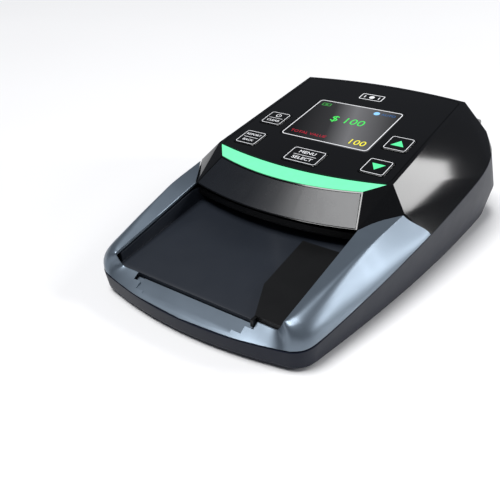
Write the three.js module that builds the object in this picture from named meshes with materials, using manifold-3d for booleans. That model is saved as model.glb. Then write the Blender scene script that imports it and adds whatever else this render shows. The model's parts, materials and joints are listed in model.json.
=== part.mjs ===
// Compact banknote counter and checker: a dark base tub, a satin upper housing with two rails round the
// note tray, and a glossy head that hinges up at the rear. Millimetres, +Z up, +Y to the rear.
import * as THREE from "three";
import { ConvexGeometry } from "three/addons/geometries/ConvexGeometry.js";
import { mergeVertices } from "three/addons/utils/BufferGeometryUtils.js";
import Module from "manifold-3d";

const wasm = await Module();
wasm.setup();

// ---------------------------------------------------------------- driving dimensions
const DEPTH = 193; // front to rear of the base, without the hinge ears
const REAR_SEAM = 190; // rear edge of the case at the seam, beside the hinges
const FOOT = 1.5; // how far the feet hold the base off the table
const SEAM_FRONT = 8.1; // height of the base's top edge at the front
const SEAM_SLOPE = 0.17; // and its rise towards the rear
const BELLY_Z = 17; // height at which the base is fullest at the rear
const WALL = 2.2;
const GAP = 0.3; // between pieces that touch

const PATH_FRONT = 12.0; // height of the note path at the front
const PATH_SLOPE = 0.145;
const TRAY_HALF = 45.5; // half the clear width between the tray walls
const TRAY_FRONT = 11.1;
const LIP_REAR = 10.8; // where the sloping front lip of the housing ends
const LIP_Z = 13.85;
const LIP_STEPS = [[24.5, 1.9], [29, 4.4], [33, 7.6]]; // half widths of the stepped notch, and where each starts
const GUIDE_TOP = 2.5; // top of the note guide above the tray
const SLOT_Y = 62; // where the note goes under the head
const SLOT_H = 4.6; // height of the mouth
const PATH_H = 2.6; // height of the path further in
const DECK_T = 2.0;

const PANEL_Y = 93.1; // front corner of the top panel
const PANEL_Z = 45.2;
const PANEL_SLOPE = 0.1475;
const OVERLAY_T = 1.6;
const KEY_X = 36.3; // centre of the outer key columns
const KEY_W = 13.2;
const KEY_L = 13.8;
const MENU_W = 19.6;
const KEY_ROWS = [103.0, 126.4];
const MENU_Y = 98.0;
const SCREEN_W = 51.4;
const SCREEN_Y = [113.6, 157.2];

const HINGE_Y = 193.4;
const HINGE_Z = 42.6;

const FEED_Y = [82, 150]; // the two feed axes
const FEED_R = 7;
const FEED_OUT = 0.4; // how far the feed rollers stand out of the deck
const PINCH_R = 5;
const ROLLER_X = 22;
const ROLLER_W = 12;
const SHAFT_R = 2;
const GEAR_MODULE = 0.8;
const GEAR_TEETH = 25;
const PINION_TEETH = 10;

// ---------------------------------------------------------------- heights and frames
const seamZ = (y) => SEAM_FRONT + SEAM_SLOPE * y;
const pathZ = (y) => PATH_FRONT + PATH_SLOPE * y;
const panelZ = (y) => PANEL_Z + PANEL_SLOPE * (y - PANEL_Y);
const PATH_TILT = Math.atan(PATH_SLOPE);
const PANEL_TILT = Math.atan(PANEL_SLOPE);
const barRear = (x) => 86.6 + 5.9 * (x / 47.5) ** 2;
const barFront = (x) => 76.6 + 6.3 * (x / 40) ** 2;
const fasciaFoot = (x) => 61.5 + 6.4 * (x / 45.5) ** 2;

// ---------------------------------------------------------------- solids
function solid(geometry) {
  const bare = geometry.index ? geometry.toNonIndexed() : geometry.clone();
  const shape = new THREE.BufferGeometry().setAttribute("position", bare.getAttribute("position"));
  const merged = mergeVertices(shape, 1e-4);
  return new wasm.Manifold(
    new wasm.Mesh({
      numProp: 3,
      vertProperties: merged.attributes.position.array,
      triVerts: new Uint32Array(merged.index.array),
    }),
  );
}

function geometryOf(body) {
  const mesh = body.getMesh();
  const count = mesh.vertProperties.length / mesh.numProp;
  const xyz = new Float32Array(count * 3);
  for (let i = 0; i < count; i++)
    for (let k = 0; k < 3; k++) xyz[3 * i + k] = mesh.vertProperties[mesh.numProp * i + k];
  const geometry = new THREE.BufferGeometry();
  geometry.setAttribute("position", new THREE.BufferAttribute(xyz, 3));
  geometry.setIndex(new THREE.BufferAttribute(new Uint32Array(mesh.triVerts), 1));
  geometry.computeVertexNormals();
  return geometry;
}

const V = (x, y, z) => new THREE.Vector3(x, y, z);

function hull(points) {
  return solid(new ConvexGeometry(points));
}

function box(x0, x1, y0, y1, z0, z1) {
  const g = new THREE.BoxGeometry(x1 - x0, y1 - y0, z1 - z0);
  return solid(g.translate((x0 + x1) / 2, (y0 + y1) / 2, (z0 + z1) / 2));
}

function rod(radius, x0, x1, y, z, sides = 24) {
  const g = new THREE.CylinderGeometry(radius, radius, x1 - x0, sides);
  return solid(g.rotateZ(Math.PI / 2).translate((x0 + x1) / 2, y, z));
}

function post(radius, x, y, z0, z1, sides = 24) {
  const g = new THREE.CylinderGeometry(radius, radius, z1 - z0, sides);
  return solid(g.rotateX(Math.PI / 2).translate(x, y, (z0 + z1) / 2));
}

function both(points) {
  return points.flatMap(([x, y, z]) => [V(x, y, z), V(-x, y, z)]);
}

// Moves every point of a convex body out by g along each axis, which gives the body with a margin.
function grow(points, g) {
  const out = [];
  for (const p of points)
    for (const sx of [-g, g]) for (const sy of [-g, g]) for (const sz of [-g, g]) out.push(V(p.x + sx, p.y + sy, p.z + sz));
  return out;
}

// A box in the tilted frame of the note path: x, y along the base, height above the path.
function pathBox(x0, x1, y0, y1, h0, h1) {
  const pts = [];
  for (const x of [x0, x1]) for (const y of [y0, y1]) for (const h of [h0, h1]) pts.push(V(x, y, pathZ(y) + h));
  return hull(pts);
}

// A point that stands h off the note path, square to it.
function offPath(y, h) {
  return [y - h * Math.sin(PATH_TILT), pathZ(y) + h * Math.cos(PATH_TILT)];
}

// A flat shape drawn in plan, laid on the top panel and extruded down to depth below it.
function panelPlate(shape, top, depth) {
  const g = new THREE.ExtrudeGeometry(shape, { depth, bevelEnabled: false, curveSegments: 6 });
  g.translate(0, -PANEL_Y, -top - depth);
  g.scale(1, 1 / Math.cos(PANEL_TILT), 1);
  return solid(g.rotateX(PANEL_TILT).translate(0, PANEL_Y, PANEL_Z));
}

function roundRect(cx, cy, w, l, r) {
  const s = new THREE.Shape();
  s.moveTo(cx - w / 2 + r, cy - l / 2);
  s.lineTo(cx + w / 2 - r, cy - l / 2);
  s.quadraticCurveTo(cx + w / 2, cy - l / 2, cx + w / 2, cy - l / 2 + r);
  s.lineTo(cx + w / 2, cy + l / 2 - r);
  s.quadraticCurveTo(cx + w / 2, cy + l / 2, cx + w / 2 - r, cy + l / 2);
  s.lineTo(cx - w / 2 + r, cy + l / 2);
  s.quadraticCurveTo(cx - w / 2, cy + l / 2, cx - w / 2, cy + l / 2 - r);
  s.lineTo(cx - w / 2, cy - l / 2 + r);
  s.quadraticCurveTo(cx - w / 2, cy - l / 2, cx - w / 2 + r, cy - l / 2);
  return s;
}

// ---------------------------------------------------------------- plan of the case
const sideX = (y) => 55.2 + 0.196 * y - 0.00055 * y * y;
const frontY = (x) => 0.00258 * x * x;

// The right half of the outline of the case, from the front centre to the rear centre. The rear corner is
// drawn from its start on the side, its control point and its end on the rear edge.
function halfOutline(start, corner, end) {
  const pts = [];
  for (const x of [0, 16, 32, 47]) pts.push(new THREE.Vector2(x, frontY(x)));
  const front = new THREE.QuadraticBezierCurve(
    new THREE.Vector2(47, frontY(47)),
    new THREE.Vector2(57.2, 6.8),
    new THREE.Vector2(sideX(18), 18),
  );
  pts.push(...front.getPoints(5).slice(1));
  for (const y of [40, 68, 97, 125, start]) pts.push(new THREE.Vector2(sideX(y), y));
  const rear = new THREE.QuadraticBezierCurve(
    new THREE.Vector2(sideX(start), start),
    new THREE.Vector2(...corner),
    new THREE.Vector2(...end),
  );
  pts.push(...rear.getPoints(6).slice(1));
  pts.push(new THREE.Vector2(26, end[1] + 1.2), new THREE.Vector2(0, end[1] + 2));
  return pts;
}

// At the seam the rear corners are cut well back; lower down the base fills them out.
const SEAM_HALF = halfOutline(145, [72.4, 186], [50, REAR_SEAM]);
const LOW_HALF = halfOutline(168, [72.4, 191.4], [52, DEPTH - 1.5]);

// The same outline moved in by an inset, which may depend on y, at a height that depends on y.
function ring(inset, height, half = SEAM_HALF) {
  const out = [];
  half.forEach((p, i) => {
    const a = half[Math.max(i - 1, 0)];
    const b = half[Math.min(i + 1, half.length - 1)];
    const t = new THREE.Vector2(b.x - a.x, b.y - a.y).normalize();
    const d = inset(p.y);
    const x = p.x - t.y * d;
    const y = p.y + t.x * d;
    if (i === 0 || i === half.length - 1) out.push(V(0, p.y + (i === 0 ? d : -d), height(p.y)));
    else out.push(V(x, y, height(y)), V(-x, y, height(y)));
  });
  return out;
}

// ---------------------------------------------------------------- the head's outer form
function headPoints() {
  const pts = [];
  for (let i = -4; i <= 4; i++) {
    const xb = 10 * i;
    const xf = (45.5 / 4) * i;
    pts.push(V(xb, barFront(xb), panelZ(barFront(xb)) - 0.3));
    pts.push(V(xf, fasciaFoot(xf), 31.6 + (xf / 45.5) ** 2));
  }
  pts.push(...both([[49.5, PANEL_Y, PANEL_Z]]));
  pts.push(...both([[58.2, 87.9, 35.3]]));
  for (const f of [1, 0.75, 0.4, 0]) {
    const x = 48.1 * f;
    const y = 181 + 4.4 * (1 - f * f);
    pts.push(...both([[x, y, panelZ(y)]]));
  }
  pts.push(...both([[61.9, 180.2, 44.8], [55, 186.6, 45.5], [30, 189.4, 46], [0, 190, 46]]));
  pts.push(...ring(() => 0, (y) => seamZ(y) + GAP).filter((p) => p.y > 94));
  pts.push(...both([[sideX(95.4), 95.4, seamZ(95.4) + GAP]]));
  return pts;
}

const HEAD = headPoints();

function headHollow() {
  const pts = HEAD.map((p) => {
    const low = p.z < seamZ(p.y) + 1;
    const front = p.y < 90 && Math.abs(p.x) < 47;
    const x = p.x - Math.sign(p.x) * 2.4;
    const y = p.y + (p.y < 100 ? (front ? 3.2 : 2.6) : p.y > 165 ? -2.6 : 0);
    return V(x, y, low ? p.z - 6 : p.z - 3.4);
  });
  pts.push(...both([[43, 72, 22]]));
  return hull(pts);
}

function overlayShape(inset) {
  const s = new THREE.Shape();
  const side = (y) => 49.5 - (1.4 * (y - PANEL_Y)) / 88 - 2.2 - inset;
  const n = 8;
  for (let i = 0; i <= n; i++) {
    const x = -46 + (92 / n) * i;
    const y = barRear(x) + GAP + inset;
    if (i === 0) s.moveTo(x, y);
    else s.lineTo(x, y);
  }
  s.lineTo(side(96), 96);
  s.lineTo(side(178), 178);
  for (let i = n; i >= 0; i--) {
    const x = -44 + (88 / n) * i;
    s.lineTo(x, 183 - inset - 3.6 * (x / 46) ** 2);
  }
  s.lineTo(-side(178), 178);
  s.lineTo(-side(96), 96);
  return s;
}

// The light bar's plan: a curved band that ends at the front edge of the head, with slanted ends.
function barShape(margin) {
  const s = new THREE.Shape();
  const n = 12;
  for (let i = 0; i <= n; i++) {
    const x = -39.8 + (79.6 / n) * i;
    const y = barFront(x) - margin;
    if (i === 0) s.moveTo(x, y);
    else s.lineTo(x, y);
  }
  for (let i = n; i >= 0; i--) {
    const x = -47.5 + (95 / n) * i;
    s.lineTo(x * (1 + margin / 48), barRear(x) - 0.2 + margin);
  }
  return s;
}

function lightBar() {
  return panelPlate(barShape(0), 0, 2.2).intersect(hull(HEAD));
}

const KEYS = [
  ["key_power", -KEY_X, KEY_ROWS[1], KEY_W],
  ["key_back", -KEY_X, KEY_ROWS[0], KEY_W],
  ["key_menu", 0, MENU_Y, MENU_W],
  ["key_up", KEY_X, KEY_ROWS[1], KEY_W],
  ["key_down", KEY_X, KEY_ROWS[0], KEY_W],
];

// ---------------------------------------------------------------- base
function baseShell() {
  const lean = (y) => 0.3 + 0.085 * seamZ(y);
  const rearOnly = (p) => p.y > 140;
  const outer = hull([
    ...ring((y) => lean(y) + 1.2, () => 0, LOW_HALF),
    ...ring((y) => lean(y), () => 1.4, LOW_HALF),
    ...ring(() => 0.3, () => BELLY_Z, LOW_HALF).filter(rearOnly),
    ...ring(() => 0, seamZ),
  ]);
  const inner = hull([
    ...ring((y) => lean(y) + 3.2, () => WALL, LOW_HALF),
    ...ring(() => 0.3 + WALL, () => BELLY_Z, LOW_HALF).filter(rearOnly),
    ...ring(() => WALL, (y) => seamZ(y) + 8),
  ]);
  let shell = outer.subtract(inner);
  shell = shell.subtract(box(-30.3, 30.3, 13.7, 48.3, -1, WALL + 1));
  for (const [x, y] of FEET) shell = shell.subtract(post(6.3, x, y, -1, 0.9));
  for (const [x, y] of SCREWS) shell = shell.subtract(post(3.2, x, y, -1, 1.3)).subtract(post(1.7, x, y, 0, WALL + 1, 12));
  shell = shell.subtract(box(-46.4, 46.4, DEPTH - 8, DEPTH + 4, pathZ(DEPTH - 7) - DECK_T - GAP, 60));
  shell = shell.subtract(box(25.7, 35.3, DEPTH - 10, DEPTH + 4, 8.7, 18.3));
  shell = shell.subtract(box(2.7, 15.3, DEPTH - 10, DEPTH + 4, 10.2, 16.8));
  for (const side of [-1, 1]) {
    const mid = side * 52;
    shell = shell.subtract(box(mid - 2.4, mid + 2.4, DEPTH - 3.6, DEPTH + 6, HINGE_Z - 5.4, 60));
    const ear = side * 48.2;
    shell = shell.add(
      hull([
        ...rodPoints(3, ear - 1.1, ear + 1.1, HINGE_Y, HINGE_Z),
        V(ear - 1.1, DEPTH - 4, 28), V(ear + 1.1, DEPTH - 4, 28),
        V(ear - 1.1, DEPTH - 4, 37), V(ear + 1.1, DEPTH - 4, 37),
      ]),
    );
    shell = shell.subtract(rod(1.25, ear - 4, ear + 4, HINGE_Y, HINGE_Z, 16));
  }
  return shell;
}

function rodPoints(radius, x0, x1, y, z, sides = 16) {
  const pts = [];
  for (let i = 0; i < sides; i++) {
    const a = (2 * Math.PI * i) / sides;
    for (const x of [x0, x1]) pts.push(V(x, y + radius * Math.cos(a), z + radius * Math.sin(a)));
  }
  return pts;
}

const FEET = [[-44, 22], [44, 22], [-52, 168], [52, 168]];
const SCREWS = [[-44, 52], [44, 52], [-52, 140], [52, 140]];

function foot([x, y]) {
  return post(6, x, y, -FOOT, 0.6);
}

function screw([x, y]) {
  const head = post(2.9, x, y, 0.2, 1.0, 16);
  const shank = post(1.4, x, y, 0.9, 9, 10);
  return head.add(shank).subtract(box(x - 1.8, x + 1.8, y - 0.4, y + 0.4, -1, 0.6));
}

// One side of the satin housing: outer slope, ridge and the flat facet that falls towards the tray.
function railHull(inset, side) {
  const edge = TRAY_HALF + 0.4 - 5 * inset;
  const drop = inset === 0 ? GAP : -4;
  const k = inset;
  const pts = [];
  for (const p of ring(() => k, (y) => seamZ(y) + drop)) if (p.x > 45 && p.y < 104) pts.push(p);
  pts.push(V(edge, 5.6 + k, seamZ(5) + drop), V(edge, 104, seamZ(104) + drop));
  pts.push(V(48 - k, 5.8 + k, 17 - k), V(52.4 - k, 7.4 + k, 16.8 - k), V(56.6 - k, 12 + k, 16.5 - k), V(58 - k, 18, 16 - k));
  pts.push(V(47.5 - k, 8 + k, 19.3 - k), V(51.6 - k, 10.4 + k, 19.3 - k), V(54.2 - k, 15, 19.6 - k));
  pts.push(V(50 - k, 16, 22 - k), V(53.3 - k, 32, 26.3 - k), V(55.2 - k, 52, 30.6 - k), V(58.2 - k, 86.2, 34.9 - k));
  pts.push(V(59.6 - k, 104, 37 - k));
  pts.push(V(edge, 6 + k, 13 - k), V(edge, 9.6 + k, 20 - k), V(edge, 67.9, 32.6 - k), V(edge, 104, 35 - k));
  return hull(pts.map((p) => V(side * p.x, p.y, p.z)));
}

// The lip in front of the tray: a ramp from the seam up to the tray, with a stepped finger notch.
function frontLip() {
  const pts = [];
  for (let i = -4; i <= 4; i++) {
    const x = 11.8 * i;
    pts.push(V(x, frontY(x), seamZ(frontY(x)) + GAP), V(x, frontY(x) + 0.3, 9 + 0.5 * frontY(x)));
  }
  for (const x of [-47.2, 47.2]) pts.push(V(x, LIP_REAR, seamZ(LIP_REAR) + GAP), V(x, LIP_REAR, LIP_Z));
  let lip = hull(pts);
  const floor = (y) => 9.4 + 0.27 * (y - 1.9);
  for (const [half, from] of LIP_STEPS) {
    const cut = [];
    for (const x of [-half, half])
      for (const y of [from, 14]) cut.push(V(x, y, floor(y)), V(x, y, 18));
    lip = lip.subtract(hull(cut));
  }
  return lip;
}

function railHousing() {
  let body = frontLip();
  for (const side of [-1, 1]) body = body.add(railHull(0, side).subtract(railHull(2, side)));
  body = body.subtract(hull(grow(HEAD, 0.35)));
  return body.subtract(box(-60, 60, 90, 110, 0, 60));
}

// The tray and deck: one sloping plate with side walls in front of the head.
function trayBed() {
  const wallTop = (y) => 20 + 0.216 * (y - 9.6) - 2 - GAP;
  let body = pathBox(-46.9, 46.9, TRAY_FRONT, REAR_SEAM, -DECK_T, 0);
  for (const side of [-1, 1]) {
    const pts = [];
    for (const x of [TRAY_HALF, 46.9])
      for (const y of [TRAY_FRONT + 1.9, 84])
        pts.push(V(side * x, y, pathZ(y) - 1), V(side * x, y, Math.min(wallTop(y), 29.2)));
    for (const x of [TRAY_HALF, 46.9]) pts.push(V(side * x, 64, 29.2));
    body = body.add(hull(pts));
  }
  body = body.subtract(hull(grow(HEAD, 0.35)).subtract(pathBox(-44.9, 44.9, 0, 200, -9, 60)));
  body = body.subtract(pathBox(40, 60, 0, 62, 0.001, GUIDE_TOP + GAP));
  for (const y of FEED_Y)
    for (const s of [-1, 1])
      body = body.subtract(pathBox(s * ROLLER_X - 6.7, s * ROLLER_X + 6.7, y - 6.2 + 0.9, y + 6.2 + 0.9, -9, 9));
  body = body.subtract(pathBox(-30.3, 30.3, 107.7, 116.3, -9, 9));
  for (const s of [-1, 1]) body = body.subtract(box(s * 48 - 2, s * 48 + 2, 184, 200, 30, 50));
  return body;
}

function noteGuide() {
  const shape = new THREE.Shape();
  shape.moveTo(22.5, 61);
  shape.lineTo(23.8, 28.4);
  shape.lineTo(31.4, 11.2);
  shape.lineTo(45.2, 11.2);
  shape.lineTo(45.2, 30);
  shape.lineTo(48, 30);
  shape.lineTo(48, 61);
  const plan = solid(new THREE.ExtrudeGeometry(shape, { depth: 30, bevelEnabled: false }));
  const slab = plan.intersect(pathBox(20, 60, 0, 70, 0.4, GUIDE_TOP));
  const reach = box(31.2, 32.6, 8.2, 11.6, 14.1, 15.8);
  return slab.add(reach).add(box(31.2, 32.6, 8.2, 9.7, 12.5, 14.2));
}

// ---------------------------------------------------------------- note drive
function feedAxis(i) {
  return offPath(FEED_Y[i], FEED_OUT - FEED_R);
}

function pinchAxis(i) {
  return offPath(FEED_Y[i], FEED_OUT + 0.35 + PINCH_R);
}

function driveShaft(i) {
  const [y, z] = feedAxis(i);
  const pulley = rod(5, -56, -52, y, z, 20).add(rod(3, -52.1, -50.9, y, z, 16));
  return rod(SHAFT_R, -51, 57.2, y, z, 16).add(pulley);
}

function roller(radius, bore, cx, y, z) {
  return rod(radius, cx - ROLLER_W / 2, cx + ROLLER_W / 2, y, z, 28).subtract(
    rod(bore, cx - 10, cx + 10, y, z, 16),
  );
}

function gear(teeth, x0, x1, y, z, phase, bore) {
  const pitch = (GEAR_MODULE * teeth) / 2;
  const shape = new THREE.Shape();
  const steps = [[-0.3, -0.95], [-0.12, 0.65], [0.12, 0.65], [0.3, -0.95]];
  for (let i = 0; i < teeth; i++)
    steps.forEach(([f, dr], k) => {
      const a = phase + ((i + f) * 2 * Math.PI) / teeth;
      const px = (pitch + dr) * Math.cos(a);
      const py = (pitch + dr) * Math.sin(a);
      if (i === 0 && k === 0) shape.moveTo(px, py);
      else shape.lineTo(px, py);
    });
  const g = new THREE.ExtrudeGeometry(shape, { depth: x1 - x0, bevelEnabled: false });
  // shape x and y become the machine's y and z, and the extrusion runs along x
  const m = new THREE.Matrix4().makeBasis(V(0, 1, 0), V(0, 0, 1), V(1, 0, 0));
  return solid(g.applyMatrix4(m).translate(x0, y, z)).subtract(rod(bore, x0 - 1, x1 + 1, y, z, 16));
}

function motorAxis() {
  const [y, z] = feedAxis(1);
  const reach = (GEAR_MODULE * (GEAR_TEETH + PINION_TEETH)) / 2;
  const a = MESH_ANGLE;
  return [y + reach * Math.cos(a), z + reach * Math.sin(a)];
}

const MESH_ANGLE = (231 * Math.PI) / 180;

function driveGear() {
  const [y, z] = feedAxis(1);
  return gear(GEAR_TEETH, 52, 56, y, z, MESH_ANGLE + Math.PI / GEAR_TEETH, SHAFT_R + 0.05);
}

function motorPinion() {
  const [y, z] = motorAxis();
  return gear(PINION_TEETH, 52, 56, y, z, MESH_ANGLE + Math.PI, 0.5).add(rod(1.0, 48.5, 57, y, z, 12));
}

function motor() {
  const [y, z] = motorAxis();
  const can = rod(10, 30.2, 47.4, y, z, 28).add(rod(3.5, 47.3, 48.4, y, z, 16));
  return can.subtract(rod(1.3, 46, 49, y, z, 12));
}

function driveBelt() {
  const [y0, z0] = feedAxis(0);
  const [y1, z1] = feedAxis(1);
  const stadium = (r, x0, x1) => hull([...rodPoints(r, x0, x1, y0, z0, 20), ...rodPoints(r, x0, x1, y1, z1, 20)]);
  return stadium(6.6, -55.4, -52.6).subtract(stadium(5.4, -57, -51));
}

function bracket(side) {
  const x0 = side > 0 ? 49 : -50.6;
  const pts = [];
  for (const x of [x0, x0 + 1.6])
    pts.push(V(x, 72, 2.5), V(x, 166, 2.5), V(x, 166, pathZ(166) - 3), V(x, 72, pathZ(72) - 3));
  let plate = hull(pts);
  for (const i of [0, 1]) plate = plate.subtract(rod(SHAFT_R + 0.06, x0 - 3, x0 + 4, ...feedAxis(i), 16));
  if (side > 0) plate = plate.subtract(rod(1.4, x0 - 3, x0 + 4, ...motorAxis(), 12));
  for (const y of [104, 117, 130]) plate = plate.subtract(rod(4, x0 - 3, x0 + 4, y, 15, 20));
  return plate;
}

function encoderDisc() {
  const [y, z] = feedAxis(0);
  let disc = rod(8, 53, 53.8, y, z, 30).subtract(rod(SHAFT_R + 0.05, 52, 55, y, z, 16));
  for (let i = 0; i < 8; i++) {
    const a = (i * Math.PI) / 4;
    disc = disc.subtract(rod(1, 52, 55, y + 6 * Math.cos(a), z + 6 * Math.sin(a), 8));
  }
  return disc;
}

// ---------------------------------------------------------------- head
function headShell() {
  let shell = hull(HEAD).subtract(headHollow());
  shell = shell.subtract(panelPlate(overlayShape(-GAP), -1, OVERLAY_T + 1 + GAP));
  shell = shell.subtract(panelPlate(barShape(GAP), -1, 3.2 + GAP));
  shell = shell.subtract(fasciaSlab(GAP, 2.05));
  for (const [, x, y, w] of KEYS)
    shell = shell.subtract(panelPlate(roundRect(x, y, w + 0.8, KEY_L + 0.8, 2), 0, 8));
  const screenY = (SCREEN_Y[0] + SCREEN_Y[1]) / 2;
  shell = shell.subtract(panelPlate(roundRect(0, screenY, SCREEN_W - 3, SCREEN_Y[1] - SCREEN_Y[0] - 3, 1), 0, 8));
  // exit slot at the rear, and the hinge ears
  shell = shell.subtract(box(-46.4, 46.4, DEPTH - 8, DEPTH + 4, 30, pathZ(DEPTH) + 5.2));
  for (const side of [-1, 1]) {
    const ear = side * 48.2;
    shell = shell.subtract(box(ear - 1.8, ear + 1.6, DEPTH - 5, DEPTH + 4, 30, HINGE_Z + 4));
    const mid = side * 52;
    shell = shell.add(
      hull([
        ...rodPoints(3, mid - 1.8, mid + 1.8, HINGE_Y, HINGE_Z),
        V(mid - 1.8, 187.5, 43.5), V(mid + 1.8, 187.5, 43.5),
        V(mid - 1.8, 185.6, 49), V(mid + 1.8, 185.6, 49),
      ]),
    );
    shell = shell.subtract(rod(1.3, mid - 4.4, mid + 4.4, HINGE_Y, HINGE_Z, 16));
  }
  return shell;
}

// The front face of the head: a thin plate between the light bar and the slot, drawn in plan.
function fasciaShape(margin) {
  const s = new THREE.Shape();
  const n = 10;
  for (let i = 0; i <= n; i++) {
    const x = (-44.6 + (89.2 / n) * i) * (1 + margin / 44);
    const y = fasciaFoot(x) + 0.5 - margin;
    if (i === 0) s.moveTo(x, y);
    else s.lineTo(x, y);
  }
  for (let i = n; i >= 0; i--) {
    const x = (-39.4 + (78.8 / n) * i) * (1 + margin / 40);
    s.lineTo(x, barFront(x) - 1.1 + margin);
  }
  return s;
}

function fasciaSlab(margin, thickness) {
  const prism = solid(new THREE.ExtrudeGeometry(fasciaShape(margin), { depth: 60, bevelEnabled: false }));
  return prism.subtract(hull(HEAD.map((p) => V(p.x, p.y, p.z - thickness))));
}

function fasciaPanel() {
  return fasciaSlab(0, 1.7).intersect(hull(HEAD)).intersect(box(-50, 50, 55, 90, 31.2, 60));
}

function keyCap([, x, y, w]) {
  const cap = panelPlate(roundRect(x, y, w, KEY_L, 1.8), 0, 3.4);
  return cap.add(panelPlate(roundRect(x, y, 3.2, 3.2, 0.6), 3, 2.2));
}

function panelOverlay() {
  let plate = panelPlate(overlayShape(0), 0, OVERLAY_T);
  for (const [, x, y, w] of KEYS)
    plate = plate.subtract(panelPlate(roundRect(x, y, w + 0.6, KEY_L + 0.6, 2), -1, 5));
  const screenY = (SCREEN_Y[0] + SCREEN_Y[1]) / 2;
  const hole = roundRect(0, screenY, SCREEN_W + 0.5, SCREEN_Y[1] - SCREEN_Y[0] + 0.5, 2);
  return plate.subtract(panelPlate(hole, -1, 5));
}

function displayWindow() {
  const screenY = (SCREEN_Y[0] + SCREEN_Y[1]) / 2;
  return panelPlate(roundRect(0, screenY, SCREEN_W, SCREEN_Y[1] - SCREEN_Y[0], 1.8), 0, OVERLAY_T);
}

function displayModule() {
  const screenY = (SCREEN_Y[0] + SCREEN_Y[1]) / 2;
  return panelPlate(roundRect(0, screenY, 56, 47, 1), 4.6, 3);
}

function keypadBoard() {
  let board = panelPlate(roundRect(0, 113.5, 90, 44, 2), 9.2, 1.6);
  for (const [, x, y] of KEYS) board = board.add(panelPlate(roundRect(x, y, 6, 6, 0.6), 5.8, 3.6));
  return board;
}

function upperGuide() {
  const nose = [];
  for (let i = -4; i <= 4; i++) {
    const x = 11.1 * i;
    const y = fasciaFoot(x) + 1.4;
    nose.push(V(x, y, pathZ(62) + SLOT_H + 1), V(x, y, 29.7), V(x, y + 1, pathZ(62) + SLOT_H));
  }
  nose.push(...both([[44.4, 74, pathZ(74) + PATH_H], [44.4, 74, pathZ(74) + PATH_H + 1.6]]));
  let plate = pathBox(-44.4, 44.4, 73, DEPTH - 9, PATH_H, PATH_H + 1.6).add(hull(nose));
  for (const y of FEED_Y)
    for (const s of [-1, 1])
      plate = plate.subtract(pathBox(s * ROLLER_X - 6.7, s * ROLLER_X + 6.7, y - 6.4, y + 5, 0, 9));
  plate = plate.subtract(pathBox(-30.3, 30.3, 107.7, 116.3, 0, 9));
  plate = plate.subtract(pathBox(-10.3, 10.3, 123.7, 132.3, 0, 9));
  for (const i of [0, 1]) {
    const [y, z] = pinchAxis(i);
    for (const s of [-1, 1]) {
      const cheek = hull([
        ...rodPoints(3.4, s * 32 - 1, s * 32 + 1, y, z),
        V(s * 32 - 1, y - 4, z - 2.2), V(s * 32 + 1, y - 4, z - 2.2),
        V(s * 32 - 1, y + 4, z - 2.2), V(s * 32 + 1, y + 4, z - 2.2),
      ]);
      plate = plate.add(cheek).subtract(rod(1.56, s * 32 - 3, s * 32 + 3, y, z, 16));
    }
  }
  return plate;
}

// ---------------------------------------------------------------- boards and sockets
function mainBoard() {
  let board = box(-44, 27, 70, 128, 5, 6.6);
  const parts = [[-30, 82, 14, 14, 1.6], [-8, 90, 9, 9, 1.4], [12, 78, 10, 6, 3], [-32, 112, 10, 16, 7], [6, 114, 18, 8, 2.4]];
  for (const [x, y, w, l, h] of parts) board = board.add(box(x - w / 2, x + w / 2, y - l / 2, y + l / 2, 6.5, 6.6 + h));
  return board;
}

function dcJack() {
  const shell = box(26, 35, DEPTH - 14, DEPTH - 2.6, 9, 18);
  const hole = new THREE.CylinderGeometry(3.1, 3.1, 10, 20).translate(30.5, DEPTH - 5, 13.5);
  const pin = new THREE.CylinderGeometry(0.9, 0.9, 10, 10).translate(30.5, DEPTH - 8.6, 13.5);
  return shell.subtract(solid(hole)).add(solid(pin));
}

function usbPort() {
  const shell = box(3, 15, DEPTH - 14, DEPTH - 2.6, 10.5, 16.5);
  return shell.subtract(box(3.5, 14.5, DEPTH - 11, DEPTH, 11, 16)).add(box(4.4, 13.6, DEPTH - 11.2, DEPTH - 3.4, 13.9, 15.2));
}

function batteryHatch() {
  return box(-30, 30, 14, 48, 0.1, 2.1).subtract(box(-8, 8, 43.5, 46.5, -1, 0.9));
}

// ---------------------------------------------------------------- materials
const paint = (color, roughness, metalness = 0) => new THREE.MeshStandardMaterial({ color, roughness, metalness });
const LOOKS = {
  base: () => paint(0x30343f, 0.5),
  satin: () => paint(0x8a9bad, 0.35, 0.7),
  tray: () => paint(0x23262d, 0.55),
  gloss: () => paint(0x08090b, 0.12),
  guide: () => paint(0x101214, 0.4),
  mint: () => paint(0x7df5b9, 0.4),
  fascia: () => paint(0x3c4047, 0.25),
  rubber: () => paint(0x161616, 0.85),
  steel: () => paint(0xb9bdc2, 0.3, 1),
  resin: () => paint(0xd9d6c9, 0.5),
  board: () => paint(0x14532d, 0.6),
  glass: () => paint(0x14181c, 0.05),
};

const part = new THREE.Group();
const machine = new THREE.Group();
machine.position.set(0, -DEPTH / 2 - 1.7, FOOT);
part.add(machine);

function node(name, body, look) {
  const mesh = new THREE.Mesh(geometryOf(body), LOOKS[look]());
  mesh.name = name;
  machine.add(mesh);
}

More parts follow.
